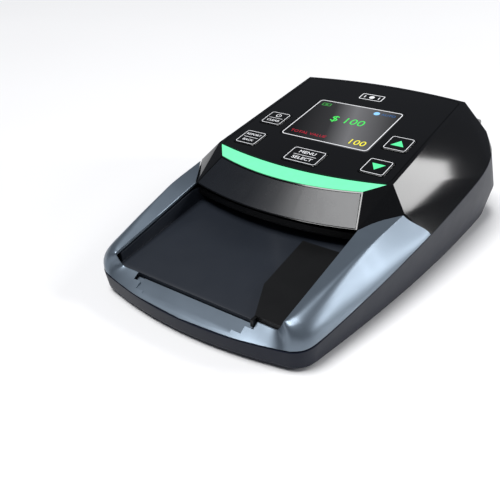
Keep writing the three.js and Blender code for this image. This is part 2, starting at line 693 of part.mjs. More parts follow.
node("base_shell", baseShell(), "base");
node("battery_hatch", batteryHatch(), "base");
node("battery_pack", box(-28, 28, 18, 44, 2.5, 10.4), "base");
FEET.forEach((at, i) => node(`foot_${i + 1}`, foot(at), "rubber"));
SCREWS.forEach((at, i) => node(`case_screw_${i + 1}`, screw(at), "steel"));
node("rail_housing", railHousing(), "satin");
node("tray_bed", trayBed(), "tray");
node("sensor_glass_lower", pathBox(-30, 30, 108, 116, -1.8, -0.1), "glass");
node("note_guide", noteGuide(), "guide");
node("bracket_left", bracket(-1), "steel");
node("bracket_right", bracket(1), "steel");
node("main_board", mainBoard(), "board");
node("dc_jack", dcJack(), "base");
node("usb_port", usbPort(), "steel");
node("motor", motor(), "steel");
node("motor_pinion", motorPinion(), "resin");
node("drive_belt", driveBelt(), "rubber");
[["front", 0], ["rear", 1]].forEach(([place, i]) => {
  node(`drive_shaft_${place}`, driveShaft(i), "steel");
  node(`feed_roller_${place}_left`, roller(FEED_R, SHAFT_R + 0.05, -ROLLER_X, ...feedAxis(i)), "rubber");
  node(`feed_roller_${place}_right`, roller(FEED_R, SHAFT_R + 0.05, ROLLER_X, ...feedAxis(i)), "rubber");
  node(`pinch_shaft_${place}`, rod(1.5, -34.5, 34.5, ...pinchAxis(i), 16), "steel");
  node(`pinch_roller_${place}_left`, roller(PINCH_R, 1.55, -ROLLER_X, ...pinchAxis(i)), "rubber");
  node(`pinch_roller_${place}_right`, roller(PINCH_R, 1.55, ROLLER_X, ...pinchAxis(i)), "rubber");
});
node("drive_gear", driveGear(), "resin");
node("encoder_disc", encoderDisc(), "steel");
node("head_shell", headShell(), "gloss");
node("panel_overlay", panelOverlay(), "gloss");
node("display_window", displayWindow(), "glass");
node("display_module", displayModule(), "steel");
node("light_bar", lightBar(), "mint");
node("fascia_panel", fasciaPanel(), "fascia");
KEYS.forEach((key) => node(key[0], keyCap(key), "gloss"));
node("keypad_board", keypadBoard(), "board");
node("upper_guide", upperGuide(), "guide");
node("sensor_glass_upper", pathBox(-30, 30, 108, 116, PATH_H + 0.1, PATH_H + 1.5), "glass");
node("sensor_bar_upper", pathBox(-33, 33, 107, 117, PATH_H + 2, PATH_H + 6), "tray");
node("magnetic_head", pathBox(-10, 10, 124, 132, PATH_H + 0.1, PATH_H + 5), "steel");
node("hinge_pin_left", rod(1.2, -54.4, -46.8, HINGE_Y, HINGE_Z, 16), "steel");
node("hinge_pin_right", rod(1.2, 46.8, 54.4, HINGE_Y, HINGE_Z, 16), "steel");

export default part;
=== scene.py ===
"""Looks of the compact banknote counter: finer shells, legends, screen, materials, light and camera."""

import math
import json

import bmesh
import bpy
from mathutils import Matrix, Vector

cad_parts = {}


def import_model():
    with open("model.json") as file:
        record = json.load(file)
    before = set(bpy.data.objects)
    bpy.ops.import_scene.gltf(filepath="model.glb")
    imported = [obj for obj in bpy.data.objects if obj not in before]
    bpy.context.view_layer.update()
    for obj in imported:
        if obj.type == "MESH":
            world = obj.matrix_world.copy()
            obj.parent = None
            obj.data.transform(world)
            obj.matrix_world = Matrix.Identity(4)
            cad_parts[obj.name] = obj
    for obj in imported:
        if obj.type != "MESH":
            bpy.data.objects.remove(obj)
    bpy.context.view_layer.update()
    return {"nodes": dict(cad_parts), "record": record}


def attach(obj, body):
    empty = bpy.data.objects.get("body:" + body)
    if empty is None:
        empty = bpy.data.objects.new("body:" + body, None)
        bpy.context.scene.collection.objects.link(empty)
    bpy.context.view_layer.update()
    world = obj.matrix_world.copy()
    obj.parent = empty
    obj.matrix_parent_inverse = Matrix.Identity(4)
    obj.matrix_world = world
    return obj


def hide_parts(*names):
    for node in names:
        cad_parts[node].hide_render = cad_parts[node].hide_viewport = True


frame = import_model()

NODES = frame["nodes"]


# ------------------------------------------------------------ the machine's own coordinates, in millimetres
MIDDLE_Y = 98.2
FOOT_HEIGHT = 1.5
PANEL_HALF, PANEL_Y, PANEL_Z = 49.5, 93.1, 45.2
PANEL_SLOPE = 0.1475
PANEL_TILT = math.atan(PANEL_SLOPE)
HINGE = (193.4, 42.6)


def place(x, y, z):
    """A point of the machine (x across, y from the front, z from the base's underside), in the row frame."""
    return Vector((x, y - MIDDLE_Y, z + FOOT_HEIGHT)) * 0.001


def seam_z(y):
    """Height of the seam between the base and the upper housing."""
    return 8.1 + 0.17 * y


def path_z(y):
    """Height of the floor that the notes slide on."""
    return 12.0 + 0.145 * y


def panel_z(y):
    """Height of the head's sloping top."""
    return PANEL_Z + PANEL_SLOPE * (y - PANEL_Y)


# ------------------------------------------------------------ materials
def node_material(name):
    mat = bpy.data.materials.new(name)
    mat.use_nodes = True
    tree = mat.node_tree
    return mat, tree, tree.nodes["Principled BSDF"]


def noise(tree, size_mm, detail):
    """Noise whose grain is about size_mm across, in the object's own coordinates."""
    coord = tree.nodes.new("ShaderNodeTexCoord")
    tex = tree.nodes.new("ShaderNodeTexNoise")
    tex.inputs["Scale"].default_value = 1000.0 / size_mm
    tex.inputs["Detail"].default_value = detail
    tex.inputs["Roughness"].default_value = 0.5
    tree.links.new(coord.outputs["Object"], tex.inputs["Vector"])
    return tex.outputs["Fac"]


def spread(tree, value, low, high, start=0.3, end=0.7):
    """Maps a value from the range start to end onto the range low to high."""
    ramp = tree.nodes.new("ShaderNodeMapRange")
    ramp.inputs["From Min"].default_value = start
    ramp.inputs["From Max"].default_value = end
    ramp.inputs["To Min"].default_value = low
    ramp.inputs["To Max"].default_value = high
    tree.links.new(value, ramp.inputs["Value"])
    return ramp.outputs["Result"]


def between(tree, value, a, b):
    """Blends two colours over the middle of a noise's range."""
    ramp = tree.nodes.new("ShaderNodeValToRGB")
    ramp.color_ramp.elements[0].position = 0.3
    ramp.color_ramp.elements[0].color = (*a, 1)
    ramp.color_ramp.elements[1].position = 0.7
    ramp.color_ramp.elements[1].color = (*b, 1)
    tree.links.new(value, ramp.inputs["Fac"])
    return ramp.outputs["Color"]


def bump(tree, shader, value, depth_mm):
    node = tree.nodes.new("ShaderNodeBump")
    node.inputs["Strength"].default_value = 1.0
    node.inputs["Distance"].default_value = depth_mm * 0.001
    tree.links.new(value, node.inputs["Height"])
    tree.links.new(node.outputs["Normal"], shader.inputs["Normal"])


def moulded(
    name, colour, roughness, grain, depth, metallic=0.0, specular=0.5, coat=0.0, coat_rough=0.1, shade=0.12
):
    """Plastic, paint, metal or rubber: slight colour drift, uneven gloss and a fine grain of some depth."""
    mat, tree, shader = node_material(name)
    low = tuple(c * (1 - shade) for c in colour)
    high = tuple(min(1, c * (1 + shade)) for c in colour)
    tree.links.new(between(tree, noise(tree, 38, 3), low, high), shader.inputs["Base Color"])
    gloss = spread(tree, noise(tree, 9, 3), roughness * 0.96, roughness * 1.04)
    tree.links.new(gloss, shader.inputs["Roughness"])
    shader.inputs["Metallic"].default_value = metallic
    shader.inputs["Specular IOR Level"].default_value = specular
    shader.inputs["Coat Weight"].default_value = coat
    shader.inputs["Coat Roughness"].default_value = coat_rough
    if depth:
        bump(tree, shader, noise(tree, grain, 2), depth)
    return mat


def printed(name, colour, glow=0.0):
    """Screen-printed ink or a lit segment. A glow keeps it bright whatever the light: on the screen that is the
    display's own light, on the ink of the keys and panel it is painted light.
    """
    mat, tree, shader = node_material(name)
    tree.links.new(
        between(tree, noise(tree, 3, 2), tuple(c * 0.93 for c in colour), colour), shader.inputs["Base Color"]
    )
    shader.inputs["Roughness"].default_value = 0.35
    if glow:
        shader.inputs["Emission Color"].default_value = (*colour, 1)
        shader.inputs["Emission Strength"].default_value = glow
    return mat


def screen_painted_reflection():
    """The display under its glass, with a reflection painted into its colour: dark at the left, with a slanting
    grey band towards the right.
    """
    mat, tree, shader = node_material("screen_painted_reflection")
    coord = tree.nodes.new("ShaderNodeTexCoord")
    split = tree.nodes.new("ShaderNodeSeparateXYZ")
    tree.links.new(coord.outputs["Object"], split.inputs["Vector"])
    slant = tree.nodes.new("ShaderNodeMath")
    slant.operation = "MULTIPLY_ADD"
    slant.inputs[1].default_value = 0.35
    tree.links.new(split.outputs["Y"], slant.inputs[0])
    tree.links.new(split.outputs["X"], slant.inputs[2])
    across = spread(tree, slant.outputs["Value"], 0, 1, -0.014, 0.044)
    # Painted reflection: the ramp lightens the colour in a slanting grey band and leaves it near black on
    # either side.
    ramp = tree.nodes.new("ShaderNodeValToRGB")
    for k, (at, level) in enumerate(((0.0, 0.004), (0.34, 0.03), (0.56, 0.16), (1.0, 0.02))):
        stop = ramp.color_ramp.elements[k] if k < 2 else ramp.color_ramp.elements.new(at)
        stop.position = at
        stop.color = (level, level, level * 1.04, 1)
    tree.links.new(across, ramp.inputs["Fac"])
    tree.links.new(ramp.outputs["Color"], shader.inputs["Base Color"])
    tree.links.new(spread(tree, noise(tree, 12, 2), 0.10, 0.13), shader.inputs["Roughness"])
    shader.inputs["Specular IOR Level"].default_value = 0.4
    return mat


MAT = {
    "base": moulded("base_dark_plastic", (0.011, 0.014, 0.025), 0.40, 0.5, 0.003, specular=0.13, shade=0.05),
    "satin": moulded(
        "satin_metallic_paint", (0.160, 0.200, 0.245), 0.37, 0.25, 0.0,
        metallic=0.7, coat=0.1, coat_rough=0.3, shade=0.03,
    ),
    "tray": moulded("tray_dark_plastic", (0.014, 0.018, 0.026), 0.42, 0.6, 0.006, specular=0.35, shade=0.04),
    "gloss": moulded("gloss_black_plastic", (0.003, 0.0032, 0.0036), 0.10, 30, 0.0, specular=0.5),
    "guide": moulded(
        "guide_black_plastic", (0.0035, 0.0037, 0.004), 0.34, 0.5, 0.0, specular=0.4, shade=0.04
    ),
    "mint": printed("mint_light", (0.17, 0.82, 0.42), 0.30),
    "fascia": moulded("fascia_gloss_plastic", (0.010, 0.012, 0.016), 0.27, 0.3, 0.0, specular=0.34),
    "rubber": moulded("rubber_black", (0.012, 0.012, 0.013), 0.8, 0.4, 0.03),
    "steel": moulded("steel", (0.55, 0.56, 0.58), 0.28, 0.3, 0.002, metallic=1.0),
    "resin": moulded("resin_natural", (0.72, 0.68, 0.56), 0.45, 0.8, 0.004),
    "board": moulded("board_green", (0.012, 0.10, 0.045), 0.4, 1.5, 0.01),
    "glass": moulded("dark_glass", (0.004, 0.004, 0.005), 0.06, 30, 0.0, coat=0.5, coat_rough=0.02),
    "battery": moulded("battery_wrap", (0.02, 0.09, 0.30), 0.35, 2, 0.01),
    # The white and green ink on the keys and panel glows: a painted brightening, since the ink gives no light.
    # The white also draws the screen's rim.
    "white": printed("print_white", (0.88, 0.89, 0.91), 0.25),
    "green": printed("print_green_painted_glow", (0.09, 0.74, 0.30), 0.4),
    "red": printed("print_red", (0.40, 0.01, 0.03), 0.3),
    "amber": printed("print_amber", (0.80, 0.72, 0.05), 0.4),
    "blue": printed("print_blue", (0.03, 0.12, 0.32), 0.3),
    "leaf": printed("print_leaf", (0.06, 0.62, 0.10), 0.4),
    "sky": printed("print_sky", (0.25, 0.55, 0.90), 0.4),
    "screen": screen_painted_reflection(),
    "dim": printed("print_dim_green", (0.04, 0.28, 0.05), 0.2),
}

# Each material slot of the record, and the look it gets.
SLOTS = {
    "base_plastic": "base",
    "satin_housing": "satin",
    "tray_plastic": "tray",
    "gloss_black": "gloss",
    "guide_plastic": "guide",
    "mint_light": "mint",
    "fascia_plastic": "fascia",
    "rubber_black": "rubber",
    "steel": "steel",
    "resin": "resin",
    "board_green": "board",
    "dark_glass": "glass",
    "battery_wrap": "battery",
}

for part in frame["record"]["subparts"]:
    look = MAT[SLOTS[part["material_slot"]]]
    mesh = NODES[part["node"]].data
    mesh.materials.clear()
    mesh.materials.append(look)


def soften(name, width_mm):
    """Rounds the crisp edges of a CAD node with a bevel, and shades it smooth."""
    o = NODES[name]
    for p in o.data.polygons:
        p.use_smooth = True
    weld = o.modifiers.new("weld", "WELD")
    weld.merge_threshold = 1e-6
    flat = o.modifiers.new("flat", "DECIMATE")
    flat.decimate_type = "DISSOLVE"
    flat.angle_limit = math.radians(0.8)
    edge = o.modifiers.new("edge", "BEVEL")
    edge.width = width_mm * 0.001
    edge.segments = 2
    edge.limit_method = "ANGLE"
    edge.angle_limit = math.radians(25)
    edge.harden_normals = True


# ------------------------------------------------------------ mesh tools, working in millimetres
def hull(points):
    """Convex body of the points, its flat faces merged."""
    bm = bmesh.new()
    for p in points:
        bm.verts.new(p)
    found = bmesh.ops.convex_hull(bm, input=bm.verts)
    loose = {e for e in found["geom_interior"] + found["geom_unused"] if isinstance(e, bmesh.types.BMVert)}
    bmesh.ops.delete(bm, geom=list(loose), context="VERTS")
    bmesh.ops.dissolve_limit(bm, angle_limit=math.radians(0.3), verts=bm.verts, edges=bm.edges)
    bmesh.ops.recalc_face_normals(bm, faces=bm.faces)
    return bm


def grid_body(rings):
    """A closed body: quads between rings of the same number of points, and a cap at each end."""
    bm = bmesh.new()
    rows = [[bm.verts.new(p) for p in ring] for ring in rings]
    n = len(rows[0])
    for a, b in zip(rows, rows[1:]):
        for i in range(n):
            j = (i + 1) % n
            bm.faces.new((a[i], a[j], b[j], b[i]))
    bm.faces.new(rows[0])
    bm.faces.new(list(reversed(rows[-1])))
    bmesh.ops.recalc_face_normals(bm, faces=bm.faces)
    return bm


def prism(outline, low, high):
    """A flat outline in plan, raised between two heights, each a number or a function of y."""
    at = lambda h, y: h(y) if callable(h) else h
    return grid_body([[(x, y, at(low, y)) for x, y in outline], [(x, y, at(high, y)) for x, y in outline]])


def temporary(bm):
    """An object made from a body, for a modifier to work on; the body is used up."""
    mesh = bpy.data.meshes.new("temporary")
    bm.to_mesh(mesh)
    bm.free()
    o = bpy.data.objects.new("temporary", mesh)
    bpy.context.scene.collection.objects.link(o)
    return o


def combine(a, b, how="DIFFERENCE"):
    """Boolean of two closed bodies; both are used up."""
    oa, ob = temporary(a), temporary(b)
    mod = oa.modifiers.new("cut", "BOOLEAN")
    mod.operation = how
    mod.object = ob
    mod.solver = "EXACT"
    bpy.context.view_layer.update()
    got = oa.evaluated_get(bpy.context.evaluated_depsgraph_get()).to_mesh()
    bm = bmesh.new()
    bm.from_mesh(got)
    for o in (oa, ob):
        mesh = o.data
        bpy.data.objects.remove(o)
        bpy.data.meshes.remove(mesh)
    return bm


def round_edges(bm, width, angle=20, segments=3):
    """Rounds every edge that is sharper than the angle."""
    sharp = [e for e in bm.edges if len(e.link_faces) == 2 and e.calc_face_angle(0) > math.radians(angle)]
    bmesh.ops.bevel(
        bm, geom=sharp, offset=width, segments=segments, affect="EDGES", profile=0.6, clamp_overlap=True
    )
    return bm


def near_line(p, a, b, reach=0.7):
    """Whether a point lies beside the segment from a to b."""
    a, d = Vector(a), Vector(b) - Vector(a)
    t = max(0, min(1, (p - a).dot(d) / d.length_squared))
    return (p - a - d * t).length < reach


def piece(name, bm, look, body, stands_for=(), smooth=32, weighted=True, creases=()):
    """Turns a millimetre body into a finished object that rides on a CAD body."""
    bmesh.ops.remove_doubles(bm, verts=bm.verts, dist=1e-4)
    kept = {e for e in bm.edges for a, b in creases if all(near_line(v.co, a, b) for v in e.verts)}
    for f in bm.faces:
        f.smooth = True
    for e in bm.edges:
        e.smooth = len(e.link_faces) == 2 and e.calc_face_angle(0) < math.radians(smooth) and e not in kept
    for v in bm.verts:
        v.co = place(*v.co)
    mesh = bpy.data.meshes.new(name)
    bm.to_mesh(mesh)
    bm.free()
    mesh.materials.append(MAT[look])
    o = bpy.data.objects.new(name, mesh)
    bpy.context.scene.collection.objects.link(o)
    if weighted:
        mod = o.modifiers.new("normals", "WEIGHTED_NORMAL")
        mod.keep_sharp = True
    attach(o, body)
    if stands_for:
        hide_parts(*stands_for)
    return o


def both(points):
    """Each point and its mirror image."""
    return [(s * x, y, z) for x, y, z in points for s in (1, -1)]


def circle(cx, cy, radius, sides):
    turn = [2 * math.pi * i / sides for i in range(sides)]
    return [(cx + radius * math.cos(a), cy + radius * math.sin(a)) for a in turn]


def spaced(start, end, n):
    """Values from start to end, in n even steps."""
    return [start + (end - start) / n * i for i in range(n + 1)]


def lerp(a, b, t):
    return tuple(p + (q - p) * t for p, q in zip(a, b))


def bezier(points, t):
    """A point on the Bezier curve of any number of control points."""
    while len(points) > 1:
        points = [lerp(a, b, t) for a, b in zip(points, points[1:])]
    return points[0]


def spline(points, t):
    """Catmull-Rom through the points; t runs from 0 to the number of gaps."""
    i = min(int(t), len(points) - 2)
    u = t - i
    p0, p1, p2 = points[max(i - 1, 0)], points[i], points[i + 1]
    p3 = points[min(i + 2, len(points) - 1)]
    return tuple(
        0.5 * (2 * b + (c - a) * u + (2 * a - 5 * b + 4 * c - d) * u * u + (3 * b - a - 3 * c + d) * u**3)
        for a, b, c, d in zip(p0, p1, p2, p3)
    )


# ------------------------------------------------------------ plan of the case
def side_x(y):
    """Half the case's width."""
    return 55.2 + 0.196 * y - 0.00055 * y * y


def front_y(x):
    """How far the bowed front stands back."""
    return 0.00258 * x * x


def outline(start, corner, end):
    """Right half of the case's outline in plan, front centre to rear centre."""
    pts = [(x, front_y(x)) for x in (0, 6, 12, 18, 24, 30, 36, 42)]
    ends = [(47, front_y(47)), (57.2, 6.8), (side_x(18), 18)]
    pts += [bezier(ends, t / 10) for t in range(11)]
    y = 26
    while y < start:
        pts.append((side_x(y), y))
        y += 8
    ends = [(side_x(start), start), corner, end]
    pts += [bezier(ends, t / 16) for t in range(17)]
    pts += [(38, end[1] + 0.7), (26, end[1] + 1.2), (13, end[1] + 1.75), (0, end[1] + 2)]
    return pts


# The outline at the seam, and the fuller one lower down at the rear.
SEAM_LINE = outline(145, (72.4, 186), (50, 190))
LOW_LINE = outline(168, (72.4, 191.4), (52, 191.5))


def ring(inset, height, line=SEAM_LINE, keep=lambda y: True):
    """The outline all round, moved in by an inset, at a height; both depend on y."""
    out = []
    for i, (x, y) in enumerate(line):
        a, b = line[max(i - 1, 0)], line[min(i + 1, len(line) - 1)]
        tx, ty = b[0] - a[0], b[1] - a[1]
        size = math.hypot(tx, ty)
        d = inset(y)
        px, py = x - ty / size * d, y + tx / size * d
        if i in (0, len(line) - 1):
            px, py = 0, y + (d if i == 0 else -d)
        if keep(py):
            out.append((px, py, height(py)))
            if px > 1e-6:
                out.append((-px, py, height(py)))
    return out


# ------------------------------------------------------------ base
WALL = 2.2
FEET = ((-44, 22), (44, 22), (-52, 168), (52, 168))
SCREWS = ((-44, 52), (44, 52), (-52, 140), (52, 140))
HATCH_HOLE = (-30.3, 30.3, 13.7, 48.3)
SOCKET_HOLES = (((25.7, 35.3), (8.7, 18.3)), ((2.7, 15.3), (10.2, 16.8)))
BASE_EAR_X, HEAD_EAR_X = 48.2, 52
EAR_RADIUS = 3
EXIT_HALF = 46.4


def base_lean(y):
    """How far the tub's wall has moved in by the time it reaches the bottom."""
    return 0.3 + 0.085 * seam_z(y)


def tub(inset, floor, top):
    """The body of the tub: the full outline at the seam, leaning in towards the bottom.

    With an inset it is the hollow. Without one it is the outside, whose two rims are rounded by more rings.
    """
    outside = inset == 0
    rear = lambda y: y > 140
    points = ring(lambda y: base_lean(y) + inset + (1.2 if outside else 1.0), lambda y: floor, LOW_LINE)
    if outside:
        points += ring(lambda y: base_lean(y) + 0.35, lambda y: 0.45, LOW_LINE)
        points += ring(base_lean, lambda y: 1.4, LOW_LINE)
    points += ring(lambda y: 0.3 + inset, lambda y: 17, LOW_LINE, rear)
    points += ring(lambda y: inset + (0.25 if outside else 0), lambda y: seam_z(y) + top)
    if outside:
        points += ring(lambda y: 0, lambda y: seam_z(y) - 0.35)
    return hull(points)


def block(x0, x1, y0, y1, z0, z1):
    return prism([(x0, y0), (x1, y0), (x1, y1), (x0, y1)], z0, z1)


def disc(x, y, radius, z0, z1, sides=48):
    return prism(circle(x, y, radius, sides), z0, z1)


def ear(x, half, foot):
    """A hinge ear: a round eye on the hinge axis, joined to the points where it leaves the shell."""
    eye = circle(*HINGE, EAR_RADIUS, 40)
    return hull([(s, y, z) for y, z in (*eye, *foot) for s in (x - half, x + half)])


def bore(x, half, radius):
    """The hinge pin's hole through an ear."""
    return grid_body([[(s, y, z) for y, z in circle(*HINGE, radius, 32)] for s in (x - half, x + half)])


def base_shell():
    """The tub, with recesses for the feet and screws, the hatch, the sockets, the exit and two hinge ears."""
    body = combine(tub(0, 0, 0), tub(WALL, WALL, 8))
    body = combine(body, block(*HATCH_HOLE, -1, 3.2))
    for x, y in FEET:
        body = combine(body, disc(x, y, 6.3, -1, 0.9))
    for x, y in SCREWS:
        body = combine(body, disc(x, y, 3.2, -1, 1.3))
        body = combine(body, disc(x, y, 1.7, 0, 3.2, 24))
    body = combine(body, block(-EXIT_HALF, EXIT_HALF, 185, 197, path_z(186) - 2.3, 60))
    for across, heights in SOCKET_HOLES:
        body = combine(body, block(*across, 183, 197, *heights))
    for s in (-1, 1):
        body = combine(body, block(s * HEAD_EAR_X - 2.4, s * HEAD_EAR_X + 2.4, 189.4, 199, 37.2, 60))
        body = combine(body, ear(s * BASE_EAR_X, 1.1, ((189, 28), (189, 37))), "UNION")
        body = combine(body, bore(s * BASE_EAR_X, 4, 1.25))
    piece("base_tub", body, "base", "base", ["base_shell"], smooth=28)


# ------------------------------------------------------------ head
CREASE_FRONT = (58.2, 87.9, 35.3)
CREASE_REAR = (61.9, 180.2, 44.8)


def bar_rear(x):
    """The rear edge of the light band."""
    return 86.6 + 5.9 * (x / 47.5) ** 2


def bar_front(x):
    """The front edge of the light band."""
    return 76.6 + 6.3 * (x / 40) ** 2


def fascia_foot(x):
    """The lower edge of the glossy strip over the note mouth."""
    return 61.5 + 6.4 * (x / 45.5) ** 2


def head_points():
    """The corners of the head, whose convex body is its outside."""
    pts = []
    for i in range(-12, 13):
        xb, xf = 40 / 12 * i, 45.5 / 12 * i
        pts.append((xb, bar_front(xb), panel_z(bar_front(xb)) - 0.3))
        pts.append((xf, fascia_foot(xf), 31.6 + (xf / 45.5) ** 2))
    pts += both([(PANEL_HALF, PANEL_Y, PANEL_Z), CREASE_FRONT])
    for i in range(0, 9):
        f = i / 8
        y = 181 + 4.4 * (1 - f * f)
        pts += both([(48.1 * f, y, panel_z(y))])
    pts += both([CREASE_REAR, (55, 186.6, 45.5), (30, 189.4, 46), (0, 190, 46)])
    pts += ring(lambda y: 0, lambda y: seam_z(y) + 0.3, keep=lambda y: y > 94)
    pts += both([(side_x(95.4), 95.4, seam_z(95.4) + 0.3)])
    return pts


def head_hollow():
    """The head's inside: its corners moved in by the walls, the lowest ones down past the open underside."""
    pts = []
    for x, y, z in head_points():
        low = z < seam_z(y) + 1
        front = y < 90 and abs(x) < 47
        nx = x - math.copysign(2.4, x) if abs(x) > 1e-6 else x
        ny = y + ((3.2 if front else 2.6) if y < 100 else -2.6 if y > 165 else 0)
        pts.append((nx, ny, z - 6 if low else z - 3.4))
    return hull(pts + both([(43, 72, 22)]))


def overlay_line(inset):
    """The panel sheet in plan: bowed along the light band and at the rear, straight at the sides."""
    side = lambda y: PANEL_HALF - 1.4 * (y - PANEL_Y) / 88 - 2.2 - inset
    front = [(x, bar_rear(x) + 0.3 + inset) for x in spaced(-46, 46, 24)]
    right = [(side(96), 96), (side(178), 178)]
    rear = [(x, 183 - inset - 3.6 * (x / 46) ** 2) for x in spaced(44, -44, 24)]
    return front + right + rear + [(-x, y) for x, y in reversed(right)]


def bar_line(margin):
    """The light band in plan, let out by a margin."""
    front = [(x, bar_front(x) - margin) for x in spaced(-39.8, 39.8, 36)]
    rear = [(x * (1 + margin / 48), bar_rear(x) - 0.2 + margin) for x in spaced(47.5, -47.5, 36)]
    return front + rear


def fascia_line(margin):
    """The glossy strip in plan, let out by a margin."""
    foot = [(x * (1 + margin / 44), fascia_foot(x) + 0.5 - margin) for x in spaced(-44.6, 44.6, 30)]
    top = [(x * (1 + margin / 40), bar_front(x) - 1.1 + margin) for x in spaced(39.4, -39.4, 30)]
    return foot + top


def round_rect(cx, cy, w, h, r):
    steps = 6
    pts = []
    for k, (sx, sy) in enumerate(((1, -1), (1, 1), (-1, 1), (-1, -1))):
        for i in range(steps + 1):
            a = math.radians(-90 + 90 * k + 90 * i / steps)
            pts.append((cx + sx * (w / 2 - r) + r * math.cos(a), cy + sy * (h / 2 - r) + r * math.sin(a)))
    return pts


def panel_prism(line, top, depth):
    """A slab of this depth along the panel's slope, from an outline in plan; top is how far below it starts."""
    return prism(line, lambda y: panel_z(y) - top - depth, lambda y: panel_z(y) - top)


# Each key: its name, centre and width. The screen: its width, length and centre's y.
KEYS = (
    ("key_power", -36.3, 126.4, 13.2),
    ("key_back", -36.3, 103.0, 13.2),
    ("key_menu", 0, 98.0, 19.6),
    ("key_up", 36.3, 126.4, 13.2),
    ("key_down", 36.3, 103.0, 13.2),
)
KEY_LONG = 13.8
SCREEN = (51.4, 43.6, 135.4)


def head_shell():
    """The head's cover, with its places for the panel, light band and strip, and its two hinge ears."""
    body = round_edges(hull(head_points()), 0.4, 7)
    body = combine(body, head_hollow())
    body = combine(body, panel_prism(overlay_line(-0.3), -1, 2.9))
    body = combine(body, panel_prism(bar_line(0.3), -1, 3.5))
    fascia = combine(prism(fascia_line(0.3), 0, 60), hull([(x, y, z - 2.05) for x, y, z in head_points()]))
    body = combine(body, fascia)
    for _, x, y, w in KEYS:
        body = combine(body, panel_prism(round_rect(x, y, w + 0.8, KEY_LONG + 0.8, 2), 0, 8))
    w, h, y = SCREEN
    body = combine(body, panel_prism(round_rect(0, y, w - 3, h - 3, 1), 0, 8))
    body = combine(body, block(-EXIT_HALF, EXIT_HALF, 185, 197, 30, path_z(193) + 5.2))
    for s in (-1, 1):
        body = combine(body, block(*sorted((s * EXIT_HALF, s * 49.8)), 188, 197, 30, 46.6))
        body = combine(body, ear(s * HEAD_EAR_X, 1.8, ((187.5, 43.5), (185.6, 49))), "UNION")
        body = combine(body, bore(s * HEAD_EAR_X, 4.4, 1.3))
    creases = [[(s * x, y, z) for x, y, z in (CREASE_FRONT, CREASE_REAR)] for s in (-1, 1)]
    piece(
        "head_cover", body, "gloss", "head", ["head_shell"],
        smooth=9, weighted=False, creases=creases,
    )


def fascia():
    """The glossy strip, a skin of the head's front."""
    outer = hull(head_points())
    body = combine(prism(fascia_line(0), 31.2, 60), outer, "INTERSECT")
    body = combine(body, hull([(x, y, z - 1.7) for x, y, z in head_points()]))
    piece("fascia_strip", body, "fascia", "head", ["fascia_panel"], smooth=30)


def light_bar():
    """The translucent band, slightly crowned along its length."""
    rows, n = [], 48
    for k in range(9):
        v = k / 8
        row = []
        for i in range(n + 1):
            u = i / n * 2 - 1
            xf, xr = 39.8 * u, 47.5 * u
            x = xf + (xr - xf) * v
            y = bar_front(xf) * (1 - v) + (bar_rear(xr) - 0.2) * v
            lift = 0.28 * math.sin(math.pi * v) ** 0.7 * min(1, 6 * (1 - abs(u)) + 0.15)
            row.append((x, y, panel_z(y) - 0.35 + lift))
        rows.append(row)
    top = bmesh.new()
    verts = [[top.verts.new(p) for p in row] for row in rows]
    for a, b in zip(verts, verts[1:]):
        for i in range(n):
            top.faces.new((a[i], a[i + 1], b[i + 1], b[i]))
    shell = bmesh.ops.extrude_face_region(top, geom=list(top.faces))
    for v in (g for g in shell["geom"] if isinstance(g, bmesh.types.BMVert)):
        v.co.z -= 1.6
    bmesh.ops.recalc_face_normals(top, faces=top.faces)
    piece("light_band", top, "mint", "head", ["light_bar"], smooth=50)


# ------------------------------------------------------------ satin housing
# Tracks that the housing's sections follow, from under the head along the right rail, round its front end and
# on to the middle of the lip: the ridge, the inner top edge, and two control lines down the outer side.
RIDGE = [
    (59.6, 104, 37.0), (58.2, 86.2, 34.9), (56.4, 64, 32.7), (55.2, 52, 30.6), (53.3, 32, 26.3),
    (50.8, 17.5, 22.6), (48.4, 12.2, 21.0), (46.3, 9.8, 19.8), (44.8, 9.9, 17.2), (43.4, 10.3, 14.9),
    (41.8, 10.5, 13.85), (36, 10.5, 13.75), (24, 10.5, 13.75), (0, 10.5, 13.75),
]
INNER = [
    (45.9, 104, 37.2), (45.9, 86.2, 36.5), (45.9, 64, 31.75), (45.9, 52, 29.15), (45.9, 32, 24.8),
    (45.9, 17.5, 21.7), (45.9, 12.2, 20.5), (45.7, 10.1, 19.7), (44.5, 10.3, 17.0), (43.1, 10.6, 14.8),
    (41.7, 10.8, 13.85), (36, 10.8, 13.8), (24, 10.8, 13.8), (0, 10.8, 13.8),
]
UPPER = [
    (62.4, 104.3, 33.4), (61.0, 87, 31.1), (59.2, 64.6, 28.7), (58.2, 52.2, 26.6), (56.6, 32.2, 22.9),
    (54.6, 16.9, 20.5), (52.0, 11.3, 19.8), (48.7, 8.8, 19.3), (46.8, 8.6, 16.6), (45.2, 8.9, 14.4),
    (43.0, 8.6, 12.9), (36.6, 8.0, 12.4), (24.2, 7.3, 12.0), (0, 7.0, 11.8),
]
LOWER = [
    (67.6, 104.6, 30.2), (66.2, 88, 27.4), (64.2, 65.4, 24.0), (62.9, 52.4, 21.4), (60.4, 32.6, 18.0),
    (58.5, 16.5, 16.6), (56.2, 10.4, 16.2), (52.3, 7.2, 15.6), (49.3, 6.9, 13.0), (47.0, 7.0, 12.0),
    (44.2, 6.7, 11.1), (37.2, 5.6, 10.6), (24.3, 4.2, 10.2), (0, 3.4, 9.9),
]
# Where the sections end on the seam: at these y along the side, then at these places round the corner.
FOOT_Y = [104, 88, 66, 52, 33]
FOOT_CORNER = [
    (58.1, 16.5), (55.7, 10.3), (51.8, 7.2), (49.2, 6.3), (47, 5.7), (44.5, 5.1),
    (37, 3.53), (24, 1.49), (0, 0),
]
